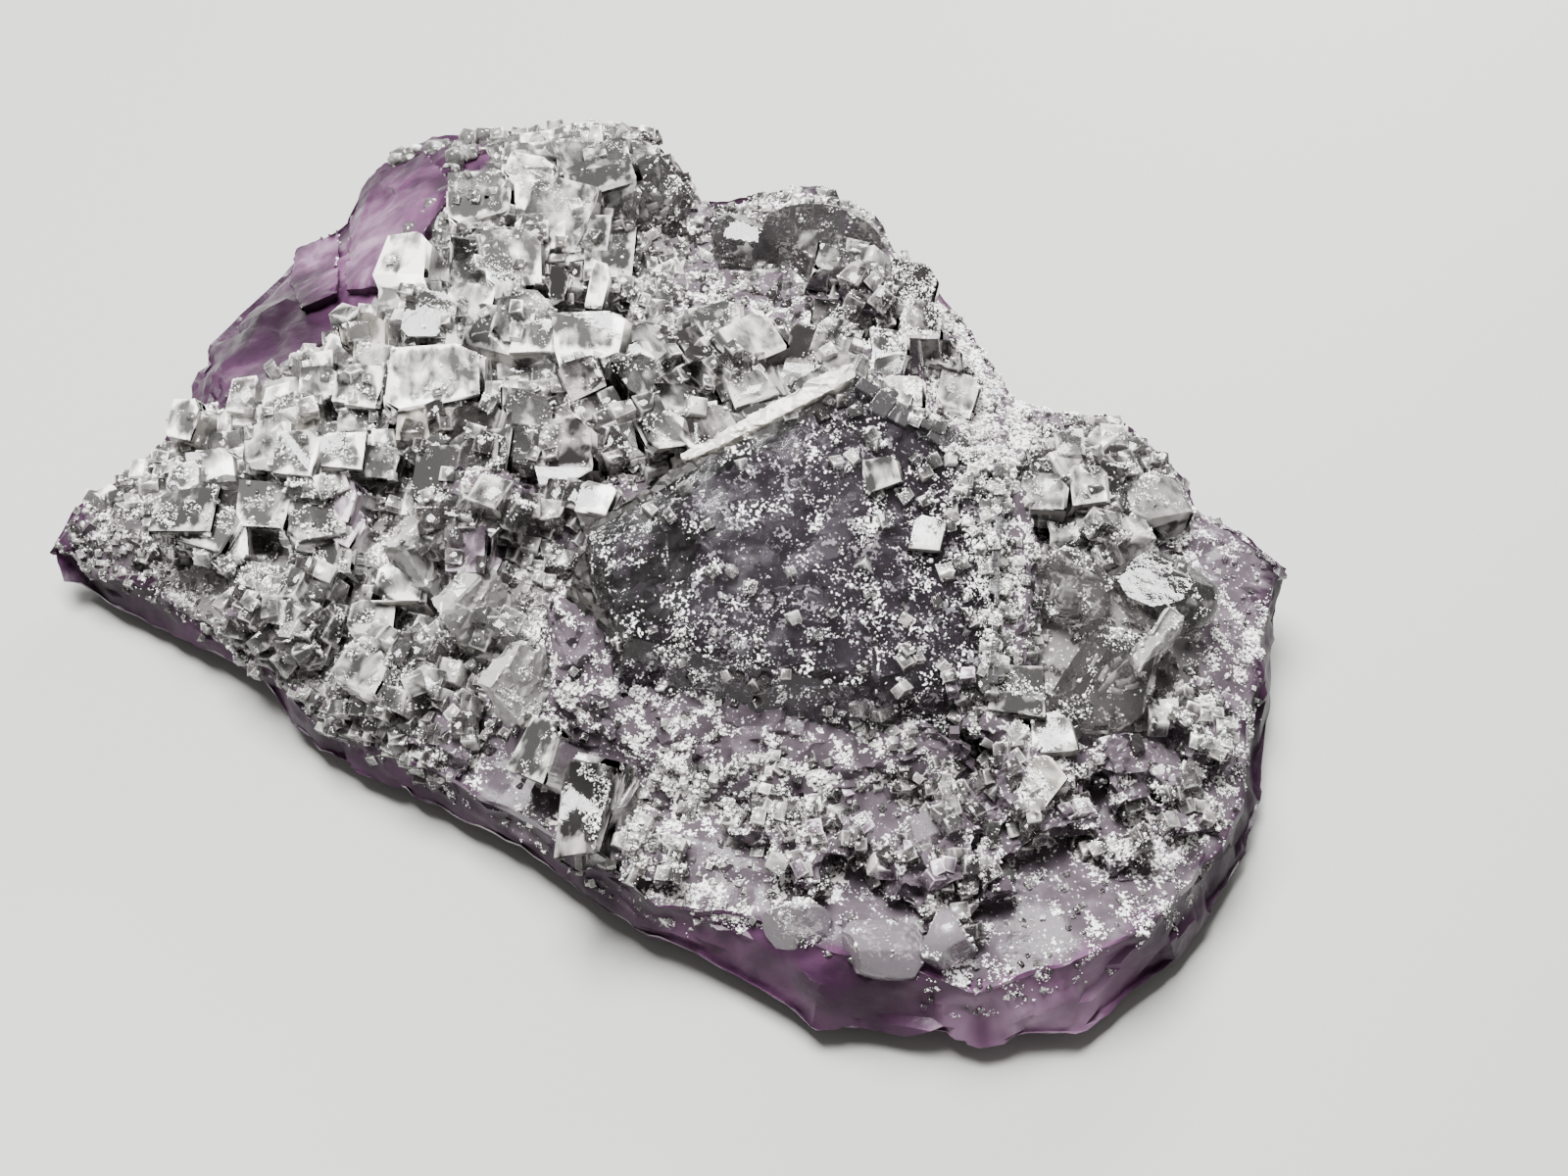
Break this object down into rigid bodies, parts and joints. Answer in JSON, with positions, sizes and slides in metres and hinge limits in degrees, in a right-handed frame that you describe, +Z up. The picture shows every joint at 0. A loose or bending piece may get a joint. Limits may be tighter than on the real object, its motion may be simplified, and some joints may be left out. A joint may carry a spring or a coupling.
{
  "type": "fluorite crystal cluster",
  "caption": "Broken slab of purple fluorite with a crust of small grey and white cubes around one great tilted crystal, resting on a flat break.",
  "frame": {"origin": "middle of the overall box, on the plane that the flat break rests on", "axes": "+Z up, +X from the pointed left tip to the right tip, -Y towards the nearer, thinner side"},
  "size_m": [0.1, 0.0884, 0.027],
  "materials": {
    "purple_fluorite": "dark violet glassy fluorite, bright violet where it is thin, broken and cleaved, with a dull sugary bloom",
    "clear_fluorite": "clear to milky grey cubes with white cleavage veils inside",
    "white_sugar": "white grains of tiny cubes, frosted and sparkling"
  },
  "bodies": {
    "root": {"fluorite_cluster": "purple_fluorite"}
  },
  "joints": []
}
